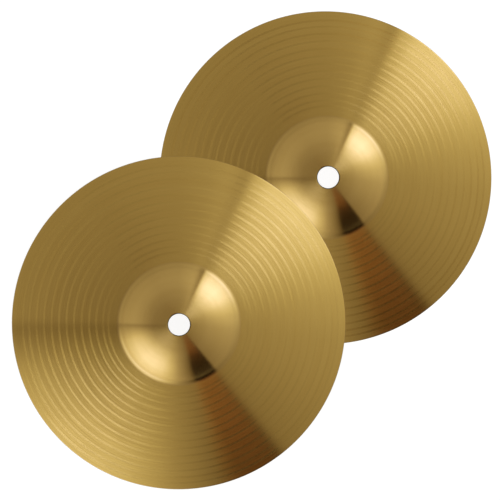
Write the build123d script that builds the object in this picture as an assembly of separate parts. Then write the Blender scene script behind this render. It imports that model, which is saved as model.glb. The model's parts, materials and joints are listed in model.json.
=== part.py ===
from build123d import *
import os
from math import asin, cos, degrees, exp, radians, sin, sqrt

# A pair of 8 inch hand cymbals, each pressed and lathed from one disc of brass sheet.
# One lies flat with its bell up. The other leans on it: its far rim stands on the table
# and its near rim lies over the side of the flat one's bell.
# Units are millimetres, +Z is up, and +X runs from the leaning cymbal to the flat one.

# ---- Driving dimensions of one cymbal ----
DIAMETER = 203.2  # 8 inch nominal
SHEET = 0.8  # thickness of the brass
HOLE_DIAMETER = 13.2  # strap hole through the crown of the bell
BOW_RADIUS = 528.0  # the bow is a shallow cap of a sphere
BELL_FOOT_RADIUS = 37.8  # where the corner round the bell runs out into the bow
FOOT_FILLET = 6.0  # concave corner between the bell and the bow
FOOT_SLOPE = 34.3  # steepest slope of the bell, at its foot
SHOULDER_RADIUS = 47.0  # the bell's side
CROWN_SLOPE = 9.4  # slope where the side meets the flatter crown

# ---- Tonal groove, turned in the top of the bow ----
GROOVE_START = 42.3  # radius of the innermost turn
GROOVE_PITCH = 4.58  # feed per turn once the tool has run in
GROOVE_RUN_IN = 0.9  # turns over which the feed builds up
GROOVE_EASE_FROM = 11  # turn after which the feed slackens towards the rim
GROOVE_EASE = 0.28
GROOVE_TURNS = 14
GROOVE_WIDTH = 1.2
GROOVE_DEPTH = 0.1

# ---- How the two lie ----
NEAR_RIM_REACH = 25.3  # from the flat cymbal's axis to the leaning one's near rim
REST_GAP = 0.25  # clearance between the near rim and the bell under it

EDGE = SHEET / 2  # the rim is fully rounded
RIM_RADIUS = DIAMETER / 2
HOLE_RADIUS = HOLE_DIAMETER / 2


def along(centre, radius, slope):
    """The point of an arc where the surface falls outwards at this slope, in degrees."""
    return (
        centre[0] + radius * sin(radians(slope)),
        centre[1] + radius * cos(radians(slope)),
    )


def slope_at(centre, radius, r):
    """The slope of an arc, in degrees, where it passes a distance r from the axis."""
    return degrees(asin((r - centre[0]) / radius))


# ---- Arc centres of the upper surface, as (distance from the axis, height) ----
rim_slope = slope_at((0, 0), BOW_RADIUS - EDGE, RIM_RADIUS - EDGE)
bow_centre = (0, EDGE - (BOW_RADIUS - EDGE) * cos(radians(rim_slope)))
foot_slope = slope_at(bow_centre, BOW_RADIUS, BELL_FOOT_RADIUS)
fillet_centre = along(bow_centre, BOW_RADIUS + FOOT_FILLET, foot_slope)
bell_foot = along(fillet_centre, -FOOT_FILLET, FOOT_SLOPE)
shoulder_centre = along(bell_foot, -SHOULDER_RADIUS, FOOT_SLOPE)
crown_edge = along(shoulder_centre, SHOULDER_RADIUS, CROWN_SLOPE)
crown_radius = crown_edge[0] / sin(radians(CROWN_SLOPE))
crown_centre = along(crown_edge, -crown_radius, CROWN_SLOPE)


def groove_radius(turn):
    """Distance from the axis to the groove after this many turns of the tool."""
    run_in = GROOVE_RUN_IN * (1 - exp(-turn / GROOVE_RUN_IN))
    eased = GROOVE_EASE * max(0, turn - GROOVE_EASE_FROM) ** 2
    return GROOVE_START + GROOVE_PITCH * (turn - run_in) - eased


def arc(centre, radius, start, end):
    """An arc between two slopes, in degrees."""
    points = [along(centre, radius, s) for s in (start, (start + end) / 2, end)]
    return ThreePointArc(*points)


def grooved_bow():
    """The bow's upper surface, from the bell's foot to the rim, with a notch at each turn."""
    edges = []
    reached = foot_slope
    for turn in range(GROOVE_TURNS):
        middle = groove_radius(turn)
        lip_in = slope_at(bow_centre, BOW_RADIUS, middle - GROOVE_WIDTH / 2)
        lip_out = slope_at(bow_centre, BOW_RADIUS, middle + GROOVE_WIDTH / 2)
        bottom = along(bow_centre, BOW_RADIUS - GROOVE_DEPTH, (lip_in + lip_out) / 2)
        edges.append(arc(bow_centre, BOW_RADIUS, reached, lip_in))
        edges.append(
            ThreePointArc(
                along(bow_centre, BOW_RADIUS, lip_in),
                bottom,
                along(bow_centre, BOW_RADIUS, lip_out),
            )
        )
        reached = lip_out
    edges.append(arc(bow_centre, BOW_RADIUS, reached, rim_slope))
    return edges


def rounded_rim():
    """The half round edge that joins the upper surface to the underside at the rim."""
    centre = along(bow_centre, BOW_RADIUS - EDGE, rim_slope)
    return ThreePointArc(
        along(centre, EDGE, rim_slope),
        along(centre, EDGE, rim_slope + 90),
        along(centre, -EDGE, rim_slope),
    )


def make_cymbal():
    """One cymbal, bell up, its rim standing on Z = 0 and its axis on Z."""
    under_crown = crown_radius - SHEET
    hole_top = slope_at(crown_centre, crown_radius, HOLE_RADIUS)
    hole_bottom = slope_at(crown_centre, under_crown, HOLE_RADIUS)
    outline = [
        arc(crown_centre, crown_radius, hole_top, CROWN_SLOPE),
        arc(shoulder_centre, SHOULDER_RADIUS, CROWN_SLOPE, FOOT_SLOPE),
        arc(fillet_centre, -FOOT_FILLET, FOOT_SLOPE, foot_slope),
        *grooved_bow(),
        rounded_rim(),
        arc(bow_centre, BOW_RADIUS - SHEET, rim_slope, foot_slope),
        arc(fillet_centre, -FOOT_FILLET - SHEET, foot_slope, FOOT_SLOPE),
        arc(shoulder_centre, SHOULDER_RADIUS - SHEET, FOOT_SLOPE, CROWN_SLOPE),
        arc(crown_centre, under_crown, CROWN_SLOPE, hole_bottom),
        Line(
            along(crown_centre, under_crown, hole_bottom),
            along(crown_centre, crown_radius, hole_top),
        ),
    ]
    return revolve(Plane.XZ * make_face(outline), axis=Axis.Z)


# ---- The lean: the near rim clears the bell's side by REST_GAP ----
near_rim_x = NEAR_RIM_REACH + EDGE
touch_radius = SHOULDER_RADIUS + REST_GAP + EDGE
near_rim_z = shoulder_centre[1] + sqrt(
    touch_radius**2 - (near_rim_x - shoulder_centre[0]) ** 2
)
rim_span = DIAMETER - SHEET
lean = degrees(asin((near_rim_z - EDGE) / rim_span))

# ---- Places in the pair's frame, whose origin is the middle of its footprint ----
pair_length = RIM_RADIUS + NEAR_RIM_REACH + SHEET + rim_span * cos(radians(lean))
flat_x = pair_length / 2 - RIM_RADIUS
pivot_x = flat_x - near_rim_x
leaning_place = (
    Pos(pivot_x, 0, near_rim_z) * Rot(0, -lean, 0) * Pos(EDGE - RIM_RADIUS, 0, -EDGE)
)

parts = {
    "lower_cymbal": Pos(flat_x, 0, 0) * make_cymbal(),
    "upper_cymbal": leaning_place * make_cymbal(),
}

os.makedirs("parts", exist_ok=True)
for node, shape in parts.items():
    export_step(shape, f"parts/{node}.step")

hole_height = along(
    crown_centre,
    crown_radius - EDGE,
    slope_at(crown_centre, crown_radius - EDGE, HOLE_RADIUS),
)[1]
leaning_hole = leaning_place * Pos(0, 0, hole_height)
print("lean", round(lean, 6), "crown radius", round(crown_radius, 3))
print("flat cymbal's hole", round(flat_x, 4), 0, round(hole_height, 4))
print("leaning cymbal's hole", leaning_hole.position)
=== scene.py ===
import json
from math import asin, cos, degrees, exp, pi, radians, sin

import bpy
from mathutils import Matrix, Vector


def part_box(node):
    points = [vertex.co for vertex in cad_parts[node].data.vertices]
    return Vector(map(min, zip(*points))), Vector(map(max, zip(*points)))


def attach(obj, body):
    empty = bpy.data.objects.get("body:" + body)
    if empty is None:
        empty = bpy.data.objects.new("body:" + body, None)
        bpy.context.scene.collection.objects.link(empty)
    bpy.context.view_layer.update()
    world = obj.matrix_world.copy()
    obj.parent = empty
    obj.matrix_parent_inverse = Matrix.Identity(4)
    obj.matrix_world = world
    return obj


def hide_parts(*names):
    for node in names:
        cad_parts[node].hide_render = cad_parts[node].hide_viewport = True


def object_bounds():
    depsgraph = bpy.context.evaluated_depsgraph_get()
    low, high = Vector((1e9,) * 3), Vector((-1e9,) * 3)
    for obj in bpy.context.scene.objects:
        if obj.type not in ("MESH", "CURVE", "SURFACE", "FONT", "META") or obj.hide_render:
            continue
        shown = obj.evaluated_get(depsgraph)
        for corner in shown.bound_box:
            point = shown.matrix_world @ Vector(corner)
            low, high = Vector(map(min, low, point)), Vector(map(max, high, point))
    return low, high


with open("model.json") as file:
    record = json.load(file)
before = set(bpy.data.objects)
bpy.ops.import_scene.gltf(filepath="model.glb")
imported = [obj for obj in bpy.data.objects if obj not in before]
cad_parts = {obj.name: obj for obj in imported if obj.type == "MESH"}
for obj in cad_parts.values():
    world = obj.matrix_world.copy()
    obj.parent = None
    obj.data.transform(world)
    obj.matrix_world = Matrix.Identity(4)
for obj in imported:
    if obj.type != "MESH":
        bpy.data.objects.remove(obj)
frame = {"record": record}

CAD_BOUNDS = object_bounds()

# Two lathed brass hand cymbals, seen from nearly straight above. Lengths are in metres and
# angles in degrees. A bearing is an angle round a cymbal, clockwise from the picture's top.

# ---- The cymbal's section, with the CAD model's driving dimensions ----
SHEET = 0.0008
EDGE = SHEET / 2
BOW_RADIUS = 0.528
BELL_FOOT_RADIUS = 0.0378
FOOT_FILLET = 0.006
FOOT_SLOPE = 34.3  # of the bell, where the fillet starts
SHOULDER_RADIUS = 0.047
CROWN_SLOPE = 9.4
HOLE_BREAK = 0.00018  # the hole's two edges are broken by this much
RIM_STEPS = 8  # mesh steps round the rim's half circle

# ---- The tonal groove: one spiral that runs outwards and clockwise ----
GROOVE_START = 0.04205
GROOVE_PITCH = 0.00458
GROOVE_RUN_IN = 0.9  # turns over which the feed builds up
GROOVE_EASE_FROM = 11
GROOVE_EASE = 0.00028
GROOVE_TURNS = 13.6
GROOVE_FADE = 0.12  # turns over which the tool enters and leaves the metal
GROOVE_CUTS = (-0.0004, 0, 0.0004)  # it is three fine cuts side by side,
CUT_WALL = 0.00018  # each with a long wall that faces outwards
CUT_BACK = 0.00004  # and a steep one that faces the bell
CUT_DEPTH = 0.000056  # next to the rim
FIRST_CUT = 0.35  # of that depth next to the bell
GROOVE_BEARING = 35.0  # where the spiral starts

COLUMNS = 320  # mesh columns round the axis

# ---- The picture ----
FRAME_WIDTH = 0.3044  # width that the frame takes in at the cymbals
CAMERA_DISTANCE = 6.0
PAIR_OFFSET = 0.0022  # the pair sits this much right of the frame's middle
SENSOR = 36.0
UP_ANGLE = 45.6  # the picture's up direction, anticlockwise from +X seen from above
EYE_LEAN_X = -0.054  # the camera stands a little off the vertical
EYE_LEAN_Y = 0.049

scene = bpy.context.scene
mounts = {m["name"]: m for m in frame["record"]["mounts"]}
low, high = (Vector(v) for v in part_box("lower_cymbal"))
RIM_RADIUS = (high.y - low.y) / 2
HOLE_RADIUS = mounts["lower_strap_hole"]["dims"]["r_mm"] / 1000


# ==== Section ====

def along(centre, radius, slope):
    """The point of an arc where the surface falls outwards at this slope."""
    return (
        centre[0] + radius * sin(radians(slope)),
        centre[1] + radius * cos(radians(slope)),
    )


def slope_at(centre, radius, r):
    """The slope of an arc where it passes a distance r from the axis."""
    return degrees(asin((r - centre[0]) / radius))


rim_slope = slope_at((0, 0), BOW_RADIUS - EDGE, RIM_RADIUS - EDGE)
bow_centre = (0, EDGE - (BOW_RADIUS - EDGE) * cos(radians(rim_slope)))
bow_foot_slope = slope_at(bow_centre, BOW_RADIUS, BELL_FOOT_RADIUS)
fillet_centre = along(bow_centre, BOW_RADIUS + FOOT_FILLET, bow_foot_slope)
bell_foot = along(fillet_centre, -FOOT_FILLET, FOOT_SLOPE)
shoulder_centre = along(bell_foot, -SHOULDER_RADIUS, FOOT_SLOPE)
crown_edge = along(shoulder_centre, SHOULDER_RADIUS, CROWN_SLOPE)
crown_radius = crown_edge[0] / sin(radians(CROWN_SLOPE))
crown_centre = along(crown_edge, -crown_radius, CROWN_SLOPE)


def arc(centre, radius, start, end, steps):
    """Points along an arc between two slopes, without the first."""
    return [
        along(centre, radius, start + (end - start) * n / steps)
        for n in range(1, steps + 1)
    ]


def bell_top():
    """From the hole's broken edge over the bell to the bow."""
    slope = slope_at(crown_centre, crown_radius, HOLE_RADIUS + HOLE_BREAK)
    points = [along(crown_centre, crown_radius, slope)]
    points += arc(crown_centre, crown_radius, slope, CROWN_SLOPE, 12)
    points += arc(shoulder_centre, SHOULDER_RADIUS, CROWN_SLOPE, FOOT_SLOPE, 24)
    points += arc(fillet_centre, -FOOT_FILLET, FOOT_SLOPE, bow_foot_slope, 7)
    return points


def underside():
    """From the bow's last point on top, round the rim and back under to the hole's edge."""
    under_crown = crown_radius - SHEET
    rim_centre = along(bow_centre, BOW_RADIUS - EDGE, rim_slope)
    slope = slope_at(crown_centre, under_crown, HOLE_RADIUS + HOLE_BREAK)
    points = [along(bow_centre, BOW_RADIUS, rim_slope)]
    points += arc(rim_centre, EDGE, rim_slope, rim_slope + 180, RIM_STEPS)
    points += arc(bow_centre, BOW_RADIUS - SHEET, rim_slope, bow_foot_slope, 20)
    points += arc(fillet_centre, -FOOT_FILLET - SHEET, bow_foot_slope, FOOT_SLOPE, 5)
    points += arc(shoulder_centre, SHOULDER_RADIUS - SHEET, FOOT_SLOPE, CROWN_SLOPE, 14)
    points += arc(crown_centre, under_crown, CROWN_SLOPE, slope, 6)
    return points


def hole_wall(upper, lower):
    """Down the hole, from the underside's edge back to the top's, with both edges broken."""
    return [
        (HOLE_RADIUS, lower[1] + HOLE_BREAK),
        (HOLE_RADIUS, (upper[1] + lower[1]) / 2),
        (HOLE_RADIUS, upper[1] - HOLE_BREAK),
    ]


def groove_radius(turn):
    """Distance from the axis to the groove after this many turns of the tool."""
    run_in = GROOVE_RUN_IN * (1 - exp(-turn / GROOVE_RUN_IN))
    eased = GROOVE_EASE * max(0, turn - GROOVE_EASE_FROM) ** 2
    return GROOVE_START + GROOVE_PITCH * (turn - run_in) - eased


def smooth(x):
    """0 below 0, 1 above 1, and a smooth step between."""
    x = min(1, max(0, x))
    return x * x * (3 - 2 * x)


def cut_depth(turn):
    """How deep the groove's cuts are after this many turns."""
    entry = smooth(turn / GROOVE_FADE)
    leaving = smooth((GROOVE_TURNS - turn) / GROOVE_FADE)
    growth = FIRST_CUT + (1 - FIRST_CUT) * turn / GROOVE_TURNS
    return CUT_DEPTH * growth * entry * leaving


BEFORE_GROOVES = (0.05, 0.3, 0.6)  # plain rows, in parts of the way to the first cut
AFTER_GROOVES = (0.4, 0.8, 0.97)  # and from the last cut to the rim
TURN_ROWS = 3 * len(GROOVE_CUTS)  # each cut has an inner lip, a bottom and an outer lip


def bow_top(part_turn):
    """Radii and cut depths over the bow at one column, this part of a turn on."""
    foot = along(bow_centre, BOW_RADIUS, bow_foot_slope)[0]
    rim = along(bow_centre, BOW_RADIUS, rim_slope)[0]
    cuts = []
    for n in range(int(GROOVE_TURNS) + 1):
        for cut in GROOVE_CUTS:
            bottom = groove_radius(n + part_turn) + cut
            cuts.append((bottom - CUT_WALL, 0))
            cuts.append((bottom, cut_depth(n + part_turn)))
            cuts.append((bottom + CUT_BACK, 0))
    first = cuts[0][0]
    last = cuts[-1][0]
    before = [(foot + (first - foot) * g, 0) for g in BEFORE_GROOVES]
    after = [(last + (rim - last) * g, 0) for g in AFTER_GROOVES]
    return before + cuts + after


def on_bow(r, depth):
    """The point of the bow's top at a distance r from the axis, sunk by depth."""
    slope = slope_at(bow_centre, BOW_RADIUS, r)
    return along(bow_centre, BOW_RADIUS - depth, slope)


# ==== Mesh ====

def column_points(part_turn):
    """One closed section of the sheet, from the hole round to it: (radius, height, groove).

    The last is 1 in the bottoms of the groove's cuts and 0 off them.
    """
    top = bell_top()
    under = underside()
    points = [(r, z, 0) for r, z in top]
    for r, depth in bow_top(part_turn):
        points.append((*on_bow(r, depth), min(1, depth / (CUT_DEPTH * FIRST_CUT))))
    points += [(r, z, 0) for r, z in under]
    points += [(r, z, 0) for r, z in hole_wall(top[0], under[-1])]
    return points


def stitch(inner, outer):
    """Triangles between the last column and the first, whose points don't pair up."""
    here = COLUMNS - 1
    there = COLUMNS
    faces = []
    a = b = 0
    while a < len(inner) - 1 or b < len(outer) - 1:
        step_a = a < len(inner) - 1 and (
            b == len(outer) - 1 or inner[a + 1][1] <= outer[b + 1][1]
        )
        if step_a:
            faces.append(((here, inner[a][0]), (there, outer[b][0]), (here, inner[a + 1][0])))
            a += 1
        else:
            faces.append(((here, inner[a][0]), (there, outer[b][0]), (there, outer[b + 1][0])))
            b += 1
    return faces


def cymbal_faces(columns, foot_row, rim_row):
    """Every face as (column, row) corners, in the order that faces outwards.

    The bow's rows follow the spiral groove, so each is one turn further out where it meets
    the first column again, and that one strip is stitched.
    """
    rows = len(columns[0])
    faces = []
    for n in range(COLUMNS):
        for row in range(rows):
            if n == COLUMNS - 1 and foot_row <= row < rim_row:
                continue
            after = (row + 1) % rows
            faces.append(((n, row), (n + 1, row), (n + 1, after), (n, after)))
    span = range(foot_row, rim_row + 1)
    last = [(row, columns[-1][row][0]) for row in span]
    first = [(row, columns[0][row][0]) for row in span]
    return faces + stitch(last, first)


def sharpen_cuts(mesh, rows, first):
    """Marks the edges along the cuts' lips and bottoms as sharp."""
    cut_rows = range(first, first + (int(GROOVE_TURNS) + 1) * TURN_ROWS)
    for edge in mesh.edges:
        start, end = sorted(edge.vertices)
        column, row = divmod(start, rows)
        end_column, end_row = divmod(end, rows)
        if end_column - column == COLUMNS - 1:
            row -= TURN_ROWS
        along_cut = end_column != column and end_row == row
        edge.use_edge_sharp = along_cut and end_row in cut_rows


def lathe_map(columns, faces):
    """The UV of every face corner: its part of a turn, and its radius in parts of the rim's."""
    corners = []
    for face in faces:
        for column, row in face:
            r = columns[column % COLUMNS][row][0]
            corners.extend((column / COLUMNS, r / RIM_RADIUS))
    return corners


def cymbal_mesh(name, materials):
    """The cymbal, bell up, its axis on Z and its rim standing on Z = 0.

    Material 0 is its top and material 1 its underside.
    """
    columns = [column_points(n / COLUMNS) for n in range(COLUMNS)]
    rows = len(columns[0])
    foot_row = len(bell_top()) - 1
    rim_row = columns[0].index((*underside()[0], 0))
    verts = []
    groove = []
    for n, points in enumerate(columns):
        turn = radians(UP_ANGLE - GROOVE_BEARING - 360 * n / COLUMNS)
        for r, z, depth in points:
            verts.append((r * cos(turn), r * sin(turn), z))
            groove.append(depth)
    faces = cymbal_faces(columns, foot_row, rim_row)
    under = [min(row for _, row in face) > rim_row + RIM_STEPS // 2 for face in faces]

    mesh = bpy.data.meshes.new(name)
    mesh.from_pydata(
        verts, [], [[column % COLUMNS * rows + row for column, row in face] for face in faces]
    )
    lathe = mesh.uv_layers.new(name="lathe")
    lathe.data.foreach_set("uv", lathe_map(columns, faces))
    depth = mesh.attributes.new("groove", "FLOAT", "POINT")
    depth.data.foreach_set("value", groove)
    for material in materials:
        mesh.materials.append(material)
    mesh.polygons.foreach_set("material_index", [int(face) for face in under])
    mesh.polygons.foreach_set("use_smooth", [True] * len(faces))
    mesh.validate()
    mesh.update()
    sharpen_cuts(mesh, rows, foot_row + 1 + len(BEFORE_GROOVES))
    return mesh


# ==== Materials ====

def add_node(tree, kind, inputs=None, **settings):
    """A node with its settings, and with its inputs set to values or linked to sockets."""
    node = tree.nodes.new(kind)
    for key, value in settings.items():
        setattr(node, key, value)
    for key, value in (inputs or {}).items():
        if isinstance(value, bpy.types.NodeSocket):
            tree.links.new(value, node.inputs[key])
        else:
            node.inputs[key].default_value = value
    return node


def calc(tree, operation, *values):
    """A Math node's result."""
    inputs = dict(enumerate(values))
    return add_node(tree, "ShaderNodeMath", inputs, operation=operation).outputs[0]


def vector_calc(tree, operation, *values, scale=None):
    """A Vector Math node's result."""
    inputs = dict(enumerate(values))
    if scale is not None:
        inputs["Scale"] = scale
    node = add_node(tree, "ShaderNodeVectorMath", inputs, operation=operation)
    return node.outputs["Vector"]


def mix_colour(tree, factor, a, b, blend="MIX"):
    """A Mix node's colour."""
    node = add_node(tree, "ShaderNodeMix", data_type="RGBA", blend_type=blend)
    for socket, value in ((0, factor), (6, a), (7, b)):
        if isinstance(value, bpy.types.NodeSocket):
            tree.links.new(value, node.inputs[socket])
        else:
            node.inputs[socket].default_value = value
    return node.outputs[2]


def between(tree, value, start, end):
    """How far a value is on its way from start to end, from 0 to 1."""
    values = {"Value": value, "From Min": start, "From Max": end}
    return add_node(tree, "ShaderNodeMapRange", values).outputs[0]


def ring_noise(tree, lathe, rings, arcs, detail=2.0, seed=0.0):
    """Noise drawn out into arcs round the axis: this many rings from axis to rim, and
    about this many arcs round each."""
    turn = calc(tree, "MULTIPLY", lathe.outputs["X"], 2 * pi)
    x = calc(tree, "MULTIPLY", calc(tree, "COSINE", turn), arcs / (2 * pi))
    y = calc(tree, "MULTIPLY", calc(tree, "SINE", turn), arcs / (2 * pi))
    z = calc(tree, "MULTIPLY_ADD", lathe.outputs["Y"], rings, seed)
    place = add_node(tree, "ShaderNodeCombineXYZ", {"X": x, "Y": y, "Z": z}).outputs[0]
    noise = add_node(
        tree, "ShaderNodeTexNoise",
        {"Vector": place, "Scale": 1.0, "Detail": detail, "Roughness": 0.6},
    )
    return noise.outputs["Fac"]


# The brass. Reaches and widths are distances from the axis.
FINE_MARKS = 620  # turning marks between the axis and the rim,
FINEST_MARKS = 1900  # and the still finer ones on them
TONE_BANDS = 26
BELL_BRUSHING = 0.7  # the bell's turning marks, beside the bow's
BOW_TONE = (1.0, 1.0, 0.87, 1)  # the turned bow is a little yellower than the bell,
CORNER_PAINTED_SHADE = (0.88, 0.875, 0.86, 1)  # the corner between them is darkened with painted shade that dims the fillet's reflection,
CORNER_MIDDLE = 0.0358
CORNER_REACH = 0.0025
CROWN_PAINTED_SHADE = (0.90, 0.885, 0.82, 1)  # and the crown is rougher, and painted darker towards the hole as shade
CROWN_ROUGHNESS = 0.06
CROWN_START = 0.06  # in parts of the rim's radius
CROWN_END = 0.17
GROOVE_DARKENING = 0.64  # how far the cuts' darker tone shows
GROOVE_TONE = (0.42, 0.26, 0.07, 1)
GROOVE_ROUGHNESS = 0.03  # over that of the metal round it
HOLE_LINE = 0.0005  # width of the ring of painted shade at the hole's edge
RIM_LINE = 0.0002  # and of the painted shade along the rim
# colours of the painted shade at the hole and along the rim
HOLE_PAINTED_SHADE = (0.14, 0.10, 0.05, 1)
RIM_PAINTED_SHADE = (0.60, 0.42, 0.17, 1)


def brushed_normal(tree, lathe, tangent, bow, scratch):
    """The normal of metal brushed in fine circles.

    Each turning mark tips the surface a little in or out, never along the mark.
    """
    surface = add_node(tree, "ShaderNodeNewGeometry")
    marks = ring_noise(tree, lathe, FINE_MARKS, 9, detail=3.0)
    finest = ring_noise(tree, lathe, FINEST_MARKS, 30, detail=1.0, seed=40.0)
    marks = calc(tree, "SUBTRACT", marks, 0.5)
    finest = calc(tree, "SUBTRACT", finest, 0.5)
    slope = calc(tree, "MULTIPLY", calc(tree, "ADD", marks, finest), scratch)
    brushing = calc(tree, "MULTIPLY_ADD", bow, 1 - BELL_BRUSHING, BELL_BRUSHING)
    slope = calc(tree, "MULTIPLY", slope, brushing)
    outwards = vector_calc(tree, "CROSS_PRODUCT", surface.outputs["Normal"], tangent)
    tip = vector_calc(tree, "SCALE", outwards, scale=slope)
    normal = vector_calc(tree, "ADD", surface.outputs["Normal"], tip)
    return vector_calc(tree, "NORMALIZE", normal)


def brass_tone_and_painted_shade(tree, lathe, bow, crown, groove, bands, colours):
    """The colour of the lacquered metal over its bands and parts, with painted shade at the
    bell's foot corner, on the crown, round the hole and along the rim.
    """
    reach = lathe.outputs["Y"]
    tone = mix_colour(tree, bands, *colours)
    # the bottoms of the groove's cuts are coloured darker
    tone = mix_colour(tree, calc(tree, "MULTIPLY", groove, GROOVE_DARKENING), tone, GROOVE_TONE)
    # painted shade: the crown is multiplied darker towards the hole
    tone = mix_colour(tree, crown, tone, CROWN_PAINTED_SHADE, blend="MULTIPLY")
    tone = mix_colour(tree, bow, tone, BOW_TONE, blend="MULTIPLY")
    # painted shade: a band round the bell's foot is multiplied darker, to dim the fillet's
    # reflection
    off_corner = calc(tree, "SUBTRACT", reach, CORNER_MIDDLE / RIM_RADIUS)
    corner = between(tree, calc(tree, "ABSOLUTE", off_corner), CORNER_REACH / RIM_RADIUS, 0)
    tone = mix_colour(tree, corner, tone, CORNER_PAINTED_SHADE, blend="MULTIPLY")
    # painted shade: a dark ring at the hole's edge and down its wall
    hole_shade_mask = calc(tree, "LESS_THAN", reach, (HOLE_RADIUS + HOLE_LINE) / RIM_RADIUS)
    # painted shade: a darker line along the rim, in place of its reflection of the horizon
    rim_shade_mask = calc(tree, "GREATER_THAN", reach, 1 - RIM_LINE / RIM_RADIUS)
    tone = mix_colour(tree, hole_shade_mask, tone, HOLE_PAINTED_SHADE)
    return mix_colour(tree, rim_shade_mask, tone, RIM_PAINTED_SHADE)


def turned_brass(name, colours, roughness, scratch):
    """Sheet brass turned on a lathe: brushed in fine circles, so that it gleams in wedges."""
    material = bpy.data.materials.new(name)
    material.use_nodes = True
    tree = material.node_tree
    tree.nodes.clear()
    uv = add_node(tree, "ShaderNodeUVMap", uv_map="lathe")
    lathe = add_node(tree, "ShaderNodeSeparateXYZ", {"Vector": uv.outputs[0]})
    tangent = add_node(
        tree, "ShaderNodeTangent", direction_type="UV_MAP", uv_map="lathe"
    ).outputs[0]
    groove = add_node(tree, "ShaderNodeAttribute", attribute_name="groove").outputs["Fac"]
    bow = calc(tree, "GREATER_THAN", lathe.outputs["Y"], BELL_FOOT_RADIUS / RIM_RADIUS)
    # towards the hole: rougher, and darkened with painted shade
    crown = between(tree, lathe.outputs["Y"], CROWN_END, CROWN_START)
    bands = ring_noise(tree, lathe, TONE_BANDS, 2, detail=3.0, seed=7.0)

    rough = calc(tree, "MULTIPLY_ADD", bands, roughness * 0.2, roughness * 0.9)
    rough = calc(tree, "MULTIPLY_ADD", groove, GROOVE_ROUGHNESS, rough)
    rough = calc(tree, "MULTIPLY_ADD", crown, CROWN_ROUGHNESS, rough)
    shader = add_node(
        tree, "ShaderNodeBsdfPrincipled",
        {
            "Base Color": brass_tone_and_painted_shade(tree, lathe, bow, crown, groove, bands, colours),
            "Metallic": 1.0,
            "Roughness": rough,
            "Anisotropic": 1.0,
            "Anisotropic Rotation": 0.25,
            "Tangent": tangent,
            "Normal": brushed_normal(tree, lathe, tangent, bow, scratch),
        },
    )
    output = add_node(tree, "ShaderNodeOutputMaterial")
    tree.links.new(shader.outputs[0], output.inputs["Surface"])
    return material


TOP_COLOURS = ((0.80, 0.55, 0.19, 1), (0.74, 0.49, 0.155, 1))
UNDER_COLOURS = ((0.72, 0.50, 0.19, 1), (0.62, 0.41, 0.14, 1))
TOP = turned_brass("turned_brass", TOP_COLOURS, 0.158, 0.19)
UNDER = turned_brass("turned_brass_under", UNDER_COLOURS, 0.26, 0.5)


# ==== The two cymbals ====

def place_on_hole(mount, hole_height):
    """The place of a cymbal whose hole lies at this mount, its axis along the mount's."""
    axis = Vector(mount["axis"]).normalized()
    turn = Vector((0, 0, 1)).rotation_difference(axis).to_matrix().to_4x4()
    sink = Matrix.Translation((0, 0, -hole_height))
    return Matrix.Translation(mount["pos_m"]) @ turn @ sink


HOLE_HEIGHT = mounts["lower_strap_hole"]["pos_m"][2]


def make_cymbal(side):
    """The visible cymbal in place of the CAD one, riding on its body."""
    mesh = cymbal_mesh(f"{side}_brass", (TOP, UNDER))
    mesh.transform(place_on_hole(mounts[f"{side}_strap_hole"], HOLE_HEIGHT))
    piece = bpy.data.objects.new(f"{side}_brass", mesh)
    scene.collection.objects.link(piece)
    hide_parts(f"{side}_cymbal")
    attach(piece, f"{side}_cymbal")
    return piece


upper = make_cymbal("upper")
lower = make_cymbal("lower")
upper.visible_glossy = False  # the lower one doesn't mirror it


# ==== Camera ====

def picture_axes(eye):
    """The picture's right, up and towards-the-eye directions, in the model's frame."""
    back = eye.normalized()
    up = Vector((cos(radians(UP_ANGLE)), sin(radians(UP_ANGLE)), 0))
    up = (up - back * up.dot(back)).normalized()
    return up.cross(back), up, back


def aim(obj, place, right, up, back):
    """Stands an object at a place, with its own X, Y and Z along three directions."""
    obj.matrix_world = Matrix.Translation(place) @ Matrix((right, up, back)).transposed().to_4x4()


right, up, back = picture_axes(Vector((EYE_LEAN_X, EYE_LEAN_Y, 1)))
camera_data = bpy.data.cameras.new("camera")
camera_data.sensor_width = SENSOR
camera_data.lens = SENSOR * CAMERA_DISTANCE / FRAME_WIDTH
camera_data.clip_end = 100
camera = bpy.data.objects.new("camera", camera_data)
scene.collection.objects.link(camera)
bow_middle = (CAD_BOUNDS[0][2] + CAD_BOUNDS[1][2]) / 2
target = Vector((0, 0, bow_middle)) - right * PAIR_OFFSET
aim(camera, target + back * CAMERA_DISTANCE, right, up, back)
scene.camera = camera


# ==== Light ====

RIG_HEIGHT = 1.2
RIG_SIZE = 12.0

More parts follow.
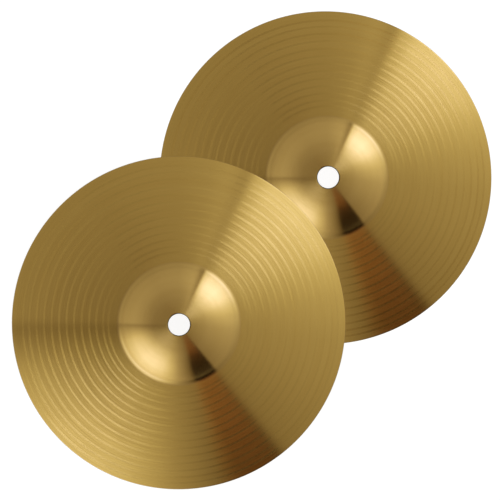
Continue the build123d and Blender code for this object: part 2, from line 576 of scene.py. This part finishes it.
# The light that each cymbal reflects, by bearing: (bearing, strength). These aren't plain
# soft boxes. The first values were rounded from the brightness measured round the
# cymbals in the reference photograph, and the rest was set against measured differences
# between it and renders of this scene.
HIGH_PLAN = (
    (0, 0.33), (12, 0.35), (20.5, 0.47), (26, 0.43), (28.5, 0.29), (31, 0.29), (33.2, 0.46),
    (37, 0.50), (45, 0.535), (60, 0.48), (70, 0.46), (80, 0.44), (95, 0.405), (110, 0.385),
    (135, 0.31), (140.5, 0.28), (143.2, 0.05), (158.7, 0.05), (164.5, 0.28), (178, 0.35),
    (190, 0.345), (212, 0.33), (222, 0.30), (230, 0.255), (240, 0.19), (250, 0.14),
    (260, 0.125), (268, 0.125), (269.5, 0.20), (310, 0.25), (345, 0.32),
)
LOW_PLAN = (
    (0, 0.47), (18, 0.58), (21, 0.50), (23.6, 0.37), (25.5, 0.37), (28, 1.22), (34.5, 1.62),
    (48, 1.72), (60, 1.48), (70, 1.06), (80, 0.78), (95, 0.55), (110, 0.46), (140, 0.28),
    (142.4, 0.02), (162.5, 0.02), (166.5, 0.17), (172, 0.30), (180, 0.48), (190, 0.89),
    (200, 1.30), (211, 1.49), (225, 1.50), (242, 1.25), (252, 1.02), (260, 0.71),
    (265.5, 0.50), (269.4, 0.34), (270.8, 0.54), (300, 0.48), (330, 0.44),
)
# the part of the low plan that is left close to the horizon
HORIZON_PLAN = (
    (0, 0.92), (12, 0.93), (28, 0.82), (40, 0.75), (55, 0.77), (75, 0.90), (90, 1.0),
    (180, 0.95), (200, 0.68), (220, 0.65), (240, 0.62), (258, 0.63), (268, 0.85),
    (290, 0.81), (320, 0.85),
)
HIGH_ZENITH = 10  # the high plan holds up to this zenith angle,
LOW_ZENITH = 46  # and the low plan from this one outwards,
FADE_ZENITH = 52  # up to where it starts to fade
HORIZON_ZENITH = 70

# An orange glow in the dark wedge, which fades out down to CARD_ZENITH
CARD_PLAN = ((0, 0.0), (142, 0.0), (144.5, 0.235), (161, 0.235), (166, 0.0))
CARD_ZENITH = 36
CARD_COLOUR = (1.0, 0.42, 0.2, 1)

# The light is warm where it is dim and daylight white where it is bright: (power, factor)
# of its strength, the blue being the greater of the two
GREEN = (1.13, 1.04)
DIM_BLUE = (1.25, 0.95)
BRIGHT_BLUE = (2.05, 1.08)


def plan_ramp(tree, bearing, plan):
    """A ramp round the compass that holds one of the plans above."""
    ramp = add_node(tree, "ShaderNodeValToRGB", {"Fac": bearing})
    stops = ramp.color_ramp.elements
    while len(stops) > 1:
        stops.remove(stops[-1])
    for n, (degrees, strength) in enumerate(plan):
        stop = stops[0] if n == 0 else stops.new(degrees / 360)
        stop.position = degrees / 360
        stop.color = (strength, strength, strength, 1)
    stops.new(1.0).color = stops[0].color
    return ramp.outputs["Color"]


def raised(tree, strength, curve):
    """The strength raised to a curve's power, times its factor."""
    power, factor = curve
    return calc(tree, "MULTIPLY", calc(tree, "POWER", strength, power), factor)


def overhead_light(tree, x, y, tilt):
    """The colour of the overhead light at a place on it, in heights from above the crown.

    The tilt is how far the camera stands off the cymbal's axis. It would bend the
    reflected wedges out of line, and is taken out again.
    """
    squares = calc(tree, "MULTIPLY_ADD", x, x, calc(tree, "MULTIPLY", y, y))
    bend = calc(tree, "SUBTRACT", calc(tree, "SQRT", calc(tree, "ADD", squares, 1)), 1)
    x = calc(tree, "MULTIPLY_ADD", bend, tilt[0], x)
    y = calc(tree, "MULTIPLY_ADD", bend, tilt[1], y)
    bearing = calc(tree, "FRACT", calc(tree, "DIVIDE", calc(tree, "ARCTAN2", x, y), 2 * pi))
    zenith = calc(tree, "DEGREES", calc(tree, "ARCTANGENT", calc(tree, "SQRT", squares)))
    strength = mix_colour(
        tree, between(tree, zenith, HIGH_ZENITH, LOW_ZENITH),
        plan_ramp(tree, bearing, HIGH_PLAN), plan_ramp(tree, bearing, LOW_PLAN),
    )
    left = mix_colour(
        tree, between(tree, zenith, FADE_ZENITH, HORIZON_ZENITH),
        (1, 1, 1, 1), plan_ramp(tree, bearing, HORIZON_PLAN),
    )
    strength = calc(tree, "MULTIPLY", strength, left)
    green = raised(tree, strength, GREEN)
    blue = calc(
        tree, "MAXIMUM", raised(tree, strength, DIM_BLUE), raised(tree, strength, BRIGHT_BLUE)
    )
    light = add_node(
        tree, "ShaderNodeCombineColor", {"Red": strength, "Green": green, "Blue": blue}
    ).outputs[0]
    fade = between(tree, zenith, CARD_ZENITH, HIGH_ZENITH)
    card = calc(tree, "MULTIPLY", plan_ramp(tree, bearing, CARD_PLAN), fade)
    card = mix_colour(tree, card, (0, 0, 0, 1), CARD_COLOUR)
    return mix_colour(tree, 1.0, light, card, blend="ADD")


def light_rig(name, cymbal, mount):
    """A wide light with the plans' pattern, that lights only this cymbal.

    It stands square to the direction in which the cymbal reflects the camera's view.
    """
    axis = Vector(mount["axis"]).normalized()
    crown = Vector(mount["pos_m"])
    to_camera = (camera.matrix_world.translation - crown).normalized()
    mirrored = 2 * to_camera.dot(axis) * axis - to_camera
    rig_up = (up - mirrored * up.dot(mirrored)).normalized()
    rig_right = rig_up.cross(mirrored)
    off_axis = to_camera - axis * to_camera.dot(axis)
    tilt = (off_axis.dot(rig_right), off_axis.dot(rig_up))

    data = bpy.data.lights.new(name, "AREA")
    data.size = RIG_SIZE
    data.energy = pi * RIG_SIZE * RIG_SIZE  # radiance 1 where the plans say 1
    data.use_nodes = True
    tree = data.node_tree
    tree.nodes.clear()
    place = add_node(tree, "ShaderNodeNewGeometry").outputs["Parametric"]
    place = add_node(tree, "ShaderNodeSeparateXYZ", {"Vector": place})
    half = RIG_SIZE / RIG_HEIGHT / 2
    x = calc(tree, "MULTIPLY_ADD", place.outputs["X"], 2 * half, -half)
    y = calc(tree, "MULTIPLY_ADD", place.outputs["Y"], 2 * half, -half)
    glow = add_node(tree, "ShaderNodeEmission", {"Color": overhead_light(tree, x, y, tilt)})
    output = add_node(tree, "ShaderNodeOutputLight")
    tree.links.new(glow.outputs[0], output.inputs["Surface"])
    rig = bpy.data.objects.new(name, data)
    scene.collection.objects.link(rig)
    rig.visible_camera = False
    aim(rig, crown + mirrored * RIG_HEIGHT, rig_right, rig_up, mirrored)
    lit = bpy.data.collections.new(f"lit_by_{name}")
    lit.objects.link(cymbal)
    rig.light_linking.receiver_collection = lit


light_rig("upper_patterned_light", upper, mounts["upper_strap_hole"])
light_rig("lower_patterned_light", lower, mounts["lower_strap_hole"])


WALL_TOP = 0.30  # the walls' glow rises down from this height on the world's sphere
WALL_FOOT = 0.08
WALL_GLOW = 0.4
WALL_COLOUR = (1.0, 0.94, 0.8, 1)


def studio_walls():
    """The rest of the studio: white to the camera, and in reflections dim overhead, with
    pale walls round the horizon."""
    world = bpy.data.worlds.new("studio")
    scene.world = world
    world.use_nodes = True
    tree = world.node_tree
    tree.nodes.clear()
    place = add_node(tree, "ShaderNodeTexCoord").outputs["Generated"]
    height = add_node(tree, "ShaderNodeSeparateXYZ", {"Vector": place}).outputs["Z"]
    walls = add_node(
        tree, "ShaderNodeMapRange",
        {"Value": height, "From Min": WALL_TOP, "From Max": WALL_FOOT, "To Max": WALL_GLOW},
        interpolation_type="SMOOTHSTEP",
    ).outputs[0]
    seen = add_node(tree, "ShaderNodeLightPath").outputs["Is Camera Ray"]
    strength = calc(tree, "MAXIMUM", walls, seen)
    colour = mix_colour(tree, seen, WALL_COLOUR, (1, 1, 1, 1))
    sky = add_node(tree, "ShaderNodeBackground", {"Color": colour, "Strength": strength})
    output = add_node(tree, "ShaderNodeOutputWorld")
    tree.links.new(sky.outputs[0], output.inputs["Surface"])


studio_walls()


# ==== Floor ====

FLOOR_SIZE = 12.0
FLOOR_GLOW = 0.88
FLOOR_GREY = 0.2
FLOOR_LIGHT_SIZE = 2.4
FLOOR_LIGHT_HEIGHT = 2.0
FLOOR_LIGHT_POWER = 60


def make_floor():
    """A pale table that glows a little, as a light table does, with soft shadows on it."""
    mesh = bpy.data.meshes.new("floor")
    half = FLOOR_SIZE / 2
    corners = [(-half, -half, 0), (half, -half, 0), (half, half, 0), (-half, half, 0)]
    mesh.from_pydata(corners, [], [(0, 1, 2, 3)])
    floor = bpy.data.objects.new("floor", mesh)
    scene.collection.objects.link(floor)
    floor.visible_glossy = False
    material = bpy.data.materials.new("pale_floor")
    material.use_nodes = True
    tree = material.node_tree
    tree.nodes.clear()
    shader = add_node(
        tree, "ShaderNodeBsdfPrincipled",
        {
            "Base Color": (FLOOR_GREY, FLOOR_GREY, FLOOR_GREY, 1),
            "Roughness": 1.0,
            "Specular IOR Level": 0.0,
            "Emission Color": (1, 1, 1, 1),
            "Emission Strength": FLOOR_GLOW,
        },
    )
    output = add_node(tree, "ShaderNodeOutputMaterial")
    tree.links.new(shader.outputs[0], output.inputs["Surface"])
    mesh.materials.append(material)
    return floor


def floor_light(floor):
    """A soft overhead light for the floor alone, which gives the cymbals their shadows."""
    data = bpy.data.lights.new("overhead", "AREA")
    data.size = FLOOR_LIGHT_SIZE
    data.energy = FLOOR_LIGHT_POWER
    light = bpy.data.objects.new("overhead", data)
    scene.collection.objects.link(light)
    light.location = (0, 0, FLOOR_LIGHT_HEIGHT)
    light.visible_camera = False
    lit = bpy.data.collections.new("lit_by_overhead")
    lit.objects.link(floor)
    light.light_linking.receiver_collection = lit


floor_light(make_floor())

scene.view_settings.view_transform = "Standard"
